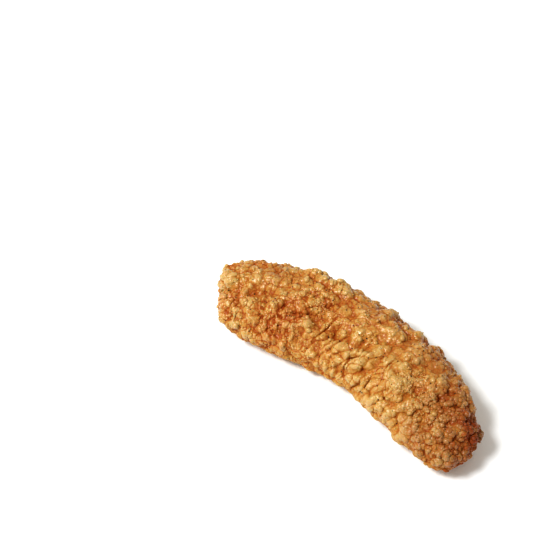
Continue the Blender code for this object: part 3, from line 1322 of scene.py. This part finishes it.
    def _band_mesh(self, name: str, first: int, last: int) -> bpy.types.Mesh:
        """One band's mesh, with its sunk rims and its closing fans.

        Args:
            name: the mesh's name.
            first: the ring of the grid where it starts.
            last: the ring where it ends.

        Returns:
            The mesh, with the facts that the finish reads.
        """
        grid = self.grid
        rings = len(grid.station) - 1
        low = max(first - self.overlap_rings, 1)
        high = min(last + self.overlap_rings, rings - 1)
        row = np.arange(low, high + 1)
        beyond = np.maximum(first - row, row - last).clip(0)
        sink = self.overlap_sink * beyond
        points = grid.points[row] - grid.normals(2.0)[row] * sink[:, None, None]
        spokes = points.shape[1]
        right_pole = grid.points[0, 0] if low == 1 else points[0].mean(axis=0)
        left_pole = grid.points[-1, 0] if high == rings - 1 else points[-1].mean(axis=0)
        everything = np.concatenate([points.reshape(-1, 3), [right_pole, left_pole]])
        quads, triangles = tube_faces(len(row), spokes)
        mesh = new_mesh(name, everything, quads, triangles)
        facts = {}
        for key, values in grid.facts.items():
            inner = values[row].ravel()
            facts[key] = np.concatenate([inner, [values[row[0]].mean(), values[row[-1]].mean()]])
        put_facts(mesh, facts)
        return mesh


@dataclass(frozen=True)
class Morsel:
    """A kind of small closed body that is stuck to the crust in great number.

    Args:
        name: the name of the piece that holds them all.
        count: how many.
        seed: for their places and sizes.
        radii: the smallest and the largest radius, in metres.
        proportions: how long, wide and thick each is, in radii.
        lift: how far its middle stands over the surface, in radii.
        tilt: the most that its long side is lifted out of the surface, in degrees.
        uneven: how far its surface departs from an ellipsoid, in radii.
        bend: how far its ends bend inwards, in radii.
        everywhere: how densely it lies outside its zones.
        zones: the zones, with how densely it lies in each.
        rings: the rings of points round it.
        spokes: the points in each ring.
    """

    name: str
    count: int
    seed: int
    radii: tuple[float, float]
    proportions: tuple[float, float, float] = (1.0, 0.85, 0.8)
    lift: float = 0.15
    tilt: float = 15.0
    uneven: float = 0.30
    bend: float = 0.0
    everywhere: float = 1.0
    zones: tuple[tuple[Zone, float], ...] = ()
    rings: int = 4
    spokes: int = 8

    def build(self, crust: TenderCrust, finish: bpy.types.Material, replaces: bool) -> None:
        """Scatters the bodies over the crust as one mesh and puts it in the scene.

        A body is an ellipsoid in the frame of the crust's outward direction, with noise along its own
        directions. It takes over the crust's facts where it sits, and its own top counts as higher, so
        the finish paints light on its top and shade at its foot.

        Args:
            crust: the surface that carries them.
            finish: their material.
            replaces: whether they stand for the solid.
        """
        clearance, lowest, softness = 0.0008, 0.0003, 0.0004
        smallness, noise_reach, noise_apart = 1.6, 0.8, 7.0
        crag_lift, crag_rise, crag_most = 0.04, 0.20, 1.2
        grid = crust.grid
        random = np.random.default_rng(self.seed)
        density = crust.gain(self.everywhere, self.zones) * grid.areas()
        density = density * facing_up(grid.spoke_turn, level=0.4, slope=1.5, least=0.12)
        density[[0, -1]] = 0.0
        density[grid.points[..., 2] < clearance] = 0.0
        chosen = random.choice(density.size, self.count, replace=False, p=density.ravel() / density.sum())
        places = grid.points.reshape(-1, 3)[chosen]
        outward = grid.normals(softness / crust.step).reshape(-1, 3)[chosen]
        least, most = self.radii
        radius = least + (most - least) * random.random(self.count) ** smallness

        length, width = self._sides(grid, chosen, outward, random)
        tilt = np.radians(self.tilt) * (2.0 * random.random((self.count, 1)) - 1.0)
        length, outward_tilted = (
            length * np.cos(tilt) + outward * np.sin(tilt),
            outward * np.cos(tilt) - length * np.sin(tilt),
        )
        ball = self._ball()
        shape = ball * self.proportions
        shape[:, 2] -= self.bend * ball[:, 0] ** 2
        noise_places = ball[None] * noise_reach + noise_apart * places[:, None] / MILLIMETRE
        noise = Noise.swell(noise_places.reshape(-1, 3), 1.0, self.seed)
        swelling = 1.0 + self.uneven * noise[:, 0].reshape(self.count, -1, 1)
        local = shape[None] * swelling * radius[:, None, None]
        bodies = (
            places[:, None]
            + self.lift * (radius[:, None] * outward)[:, None]
            + local[..., 0:1] * length[:, None]
            + local[..., 1:2] * width[:, None]
            + local[..., 2:3] * outward_tilted[:, None]
        )
        bodies[..., 2] = np.maximum(bodies[..., 2], lowest)

        quads, triangles = tube_faces(self.rings, self.spokes)
        shift = (np.arange(self.count) * len(ball))[:, None, None]
        quads = (quads[None] + shift).reshape(-1, 4)
        triangles = (triangles[None] + shift).reshape(-1, 3)
        mesh = new_mesh(self.name, bodies.reshape(-1, 3), quads, triangles)
        own = {
            key: np.repeat(values.ravel()[chosen][:, None], len(ball), 1)
            for key, values in grid.facts.items()
        }
        # The body's top counts higher and its foot lower on the colour ramp: painted light on top and painted
        # shade at the foot.
        own["crag"] = np.clip(own["crag"] + crag_lift + crag_rise * ball[None, :, 2], 0.0, crag_most)
        own["tint"] = np.repeat(random.random((self.count, 1)), len(ball), 1)
        put_facts(mesh, {key: values.ravel() for key, values in own.items()})
        add_piece(self.name, mesh, finish, replaces)

    def _sides(
        self, grid: CrustGrid, chosen: np.ndarray, outward: np.ndarray, random: np.random.Generator
    ) -> tuple[np.ndarray, np.ndarray]:
        """Each body's long and wide directions, square to the outward one.

        A drawn-out body lies roughly round the tender, and a round one any way.

        Args:
            grid: the crust's grid.
            chosen: (n,) which of its points carry a body.
            outward: (n, 3) the outward directions there.
            random: the source of chance.

        Returns:
            (n, 3) long directions and (n, 3) wide directions.
        """
        tiny, drawn_out_from, drawn_out_spread = 1e-12, 1.5, 0.5
        round_step = np.roll(grid.points, -1, axis=1) - np.roll(grid.points, 1, axis=1)
        round_step = round_step.reshape(-1, 3)[chosen]
        round_step = round_step / (np.linalg.norm(round_step, axis=1, keepdims=True) + tiny)
        drawn_out = self.proportions[0] > drawn_out_from * self.proportions[1]
        spread = drawn_out_spread if drawn_out else math.pi
        turn = spread * (2.0 * random.random((len(chosen), 1)) - 1.0)
        aside = np.cross(outward, round_step)
        length = round_step * np.cos(turn) + aside * np.sin(turn)
        length -= outward * (length * outward).sum(axis=1, keepdims=True)
        length /= np.linalg.norm(length, axis=1, keepdims=True) + tiny
        return length, np.cross(outward, length)

    def _ball(self) -> np.ndarray:
        """The points of a ball: rings across its x axis, then its two poles.

        Returns:
            (n, 3) points at a distance of 1 from its middle.
        """
        ring = math.pi * (np.arange(self.rings) + 1.0) / (self.rings + 1.0)
        spoke = 2.0 * math.pi * np.arange(self.spokes) / self.spokes
        ring, spoke = np.meshgrid(ring, spoke, indexing="ij")
        points = np.stack([np.cos(ring), np.sin(ring) * np.cos(spoke), np.sin(ring) * np.sin(spoke)], axis=-1)
        return np.concatenate([points.reshape(-1, 3), [(1.0, 0.0, 0.0), (-1.0, 0.0, 0.0)]])


NODULES = Morsel(
    name="crust_nodules",
    count=560,
    seed=5,
    radii=(0.0007, 0.0015),
    lift=-0.15,
    everywhere=0.12,
    zones=((Zone.NODULAR, 1.2), (Zone.SMOOTH, 0.04), (Zone.LOBED, 0.04), (Zone.CRUMBLY, 0.6)),
)
GRAINS = Morsel(
    name="crust_grains",
    count=1100,
    seed=6,
    radii=(0.00028, 0.0006),
    lift=0.1,
    everywhere=0.5,
    zones=((Zone.SMOOTH, 0.3), (Zone.LOBED, 0.2), (Zone.CRUMBLY, 7.0), (Zone.FLAKY, 0.8)),
)
FLAKES = Morsel(
    name="crust_flakes",
    count=160,
    seed=7,
    radii=(0.0007, 0.0015),
    proportions=(1.0, 0.50, 0.14),
    lift=0.0,
    tilt=14.0,
    uneven=0.35,
    bend=0.25,
    everywhere=0.35,
    zones=((Zone.FLAKY, 5.0), (Zone.LOBED, 0.2), (Zone.SMOOTH, 0.3)),
)
PEPPER = Morsel(
    name="pepper_specks",
    count=300,
    seed=8,
    radii=(0.00018, 0.00038),
    proportions=(1.0, 0.8, 0.5),
    lift=0.25,
    rings=3,
    spokes=6,
)


def tube_faces(rings: int, spokes: int) -> tuple[np.ndarray, np.ndarray]:
    """The faces of a tube of rings with a pole point at each end, which are the last two points.

    Args:
        rings: how many rings of points.
        spokes: how many points in each.

    Returns:
        (quads, triangles) as corner numbers that go round outwards.
    """
    ring, spoke = np.meshgrid(np.arange(rings - 1), np.arange(spokes), indexing="ij")
    ring, spoke = ring.ravel(), spoke.ravel()
    onward = (spoke + 1) % spokes
    here, beside = ring * spokes + spoke, ring * spokes + onward
    quads = np.stack([here, here + spokes, beside + spokes, beside], axis=1)
    spoke = np.arange(spokes)
    onward = (spoke + 1) % spokes
    first_pole, last_pole = rings * spokes, rings * spokes + 1
    first_fan = np.stack([np.full(spokes, first_pole), spoke, onward], axis=1)
    last_row = (rings - 1) * spokes
    last_fan = np.stack([last_row + onward, last_row + spoke, np.full(spokes, last_pole)], axis=1)
    return quads, np.concatenate([first_fan, last_fan])


@dataclass(frozen=True)
class SoftLight:
    """A square soft light that faces the tender.

    Args:
        name: its name.
        aside: its azimuth from the camera's, in degrees, to the camera's right.
        tilt: its elevation, in degrees.
        size: its side, in metres.
        power: its power, in watts.
        colour: its colour.
        distance: how far it stands from the tender, in metres.
        aim_height: how high the point is that it faces, in metres.
    """

    name: str
    aside: float
    tilt: float
    size: float
    power: float
    colour: Colour = (1.0, 0.992, 0.98)
    distance: float = 1.1
    aim_height: float = 0.01

    def build(self, azimuth: float) -> None:
        """Puts the light in the scene, for a camera at the given azimuth in degrees."""
        back = direction(azimuth + self.aside, self.tilt)
        data = bpy.data.lights.new(self.name, "AREA")
        data.size = self.size
        data.energy = self.power
        data.color = self.colour
        light = bpy.data.objects.new(self.name, data)
        light.location = Vector((0.0, 0.0, self.aim_height)) + back * self.distance
        light.rotation_mode = "QUATERNION"
        light.rotation_quaternion = back.to_track_quat("Z", "Y")
        bpy.context.scene.collection.objects.link(light)


KEY_LIGHT = SoftLight("key_light", aside=-72.0, tilt=52.0, size=0.60, power=3.3)
SPARKLE_LIGHT = SoftLight("sparkle_light", aside=-60.0, tilt=58.0, size=0.24, power=5.6)


def direction(azimuth: float, elevation: float) -> Vector:
    """The unit direction towards a place seen at an azimuth and an elevation.

    Args:
        azimuth: degrees round from the front, -Y, to the right.
        elevation: degrees up from level.

    Returns:
        The direction.
    """
    turn, tilt = math.radians(azimuth), math.radians(elevation)
    level = math.cos(tilt)
    return Vector((math.sin(turn) * level, -math.cos(turn) * level, math.sin(tilt)))


@dataclass(frozen=True)
class Studio:
    """The pale floor, the soft lights and the camera.

    The camera looks at the tender from the photograph's side. The tender lies flat, so the camera looks
    down more steeply than it did there, and the same side faces it.
    """

    frame_pixels: float = 555.0
    azimuth: float = 41.4
    elevation: float = 50.0
    lens: float = 100.0
    sensor: float = 36.0
    metres_per_pixel: float = 0.3875e-3
    middle_pixel: tuple[float, float] = (351.4, 346.3)
    aim_height: float = 0.013
    clip_start: float = 0.01
    floor_reach: float = 3.0
    floor_colour: Colour = (0.90, 0.95, 0.99)
    floor_roughness: float = 0.85
    floor_specular: float = 0.2
    surround_colour: Colour = (1.0, 0.925, 0.83)
    surround_strength: float = 0.48

    def directions(self) -> tuple[Vector, Vector, Vector]:
        """(towards the camera, the picture's right, the picture's up), as unit directions."""
        back, right = direction(self.azimuth, self.elevation), direction(self.azimuth + 90.0, 0.0)
        return back, right, back.cross(right)

    def camera(self) -> None:
        """Places the camera so that the tender's middle falls on its pixel of the frame."""
        back, right, up = self.directions()
        distance = self.metres_per_pixel * self.frame_pixels * self.lens / self.sensor
        aside = (self.middle_pixel[0] - 0.5 * self.frame_pixels) * self.metres_per_pixel
        below = (self.middle_pixel[1] - 0.5 * self.frame_pixels) * self.metres_per_pixel
        aim = Vector((0.0, 0.0, self.aim_height)) - right * aside + up * below
        data = bpy.data.cameras.new("camera")
        data.lens = self.lens
        data.sensor_width = self.sensor
        data.clip_start = self.clip_start
        camera = bpy.data.objects.new("camera", data)
        camera.location = aim + back * distance
        camera.rotation_mode = "QUATERNION"
        camera.rotation_quaternion = back.to_track_quat("Z", "Y")
        bpy.context.scene.collection.objects.link(camera)
        bpy.context.scene.camera = camera

    def floor(self) -> None:
        """A wide white floor under the tender."""
        reach = self.floor_reach
        corners = [(-reach, -reach, 0.0), (reach, -reach, 0.0), (reach, reach, 0.0), (-reach, reach, 0.0)]
        none = np.zeros((0, 3), dtype=int)
        mesh = new_mesh("studio_floor", np.array(corners), np.array([[0, 1, 2, 3]]), none)
        shader = Shader("studio_floor_finish")
        shader.settle(
            base_color=(*self.floor_colour, 1.0),
            roughness=self.floor_roughness,
            specular_ior_level=self.floor_specular,
        )
        mesh.materials.append(shader.material)
        floor = bpy.data.objects.new("studio_floor", mesh)
        bpy.context.scene.collection.objects.link(floor)

    def lights(self) -> None:
        """A broad key light from the left, a small one for the shine, and a faintly warm surround."""
        for light in (KEY_LIGHT, SPARKLE_LIGHT):
            light.build(self.azimuth)
        world = bpy.data.worlds.new("studio_surround")
        world.use_nodes = True
        surround = world.node_tree.nodes["Background"]
        surround.inputs["Color"].default_value = (*self.surround_colour, 1.0)
        surround.inputs["Strength"].default_value = self.surround_strength
        bpy.context.scene.world = world

    def build(self) -> None:
        """Makes the camera, the floor and the lights, and sets a view with strong contrast."""
        self.camera()
        self.floor()
        self.lights()
        bpy.context.scene.view_settings.view_transform = "Standard"
        bpy.context.scene.view_settings.look = "High Contrast"


def main() -> None:
    """Builds the crust, then the studio."""
    logging.basicConfig(level=logging.INFO, format="%(name)s: %(message)s")
    form = StripForm()
    crust = TenderCrust(form, CrustRelief())
    crust_finish = CrustFinish().build()
    crust.build(crust_finish)
    for morsel in (NODULES, GRAINS, FLAKES):
        morsel.build(crust, crust_finish, replaces=True)
    PEPPER.build(crust, PepperFinish().build(), replaces=False)
    Studio().build()


if __name__ == "__main__":
    main()
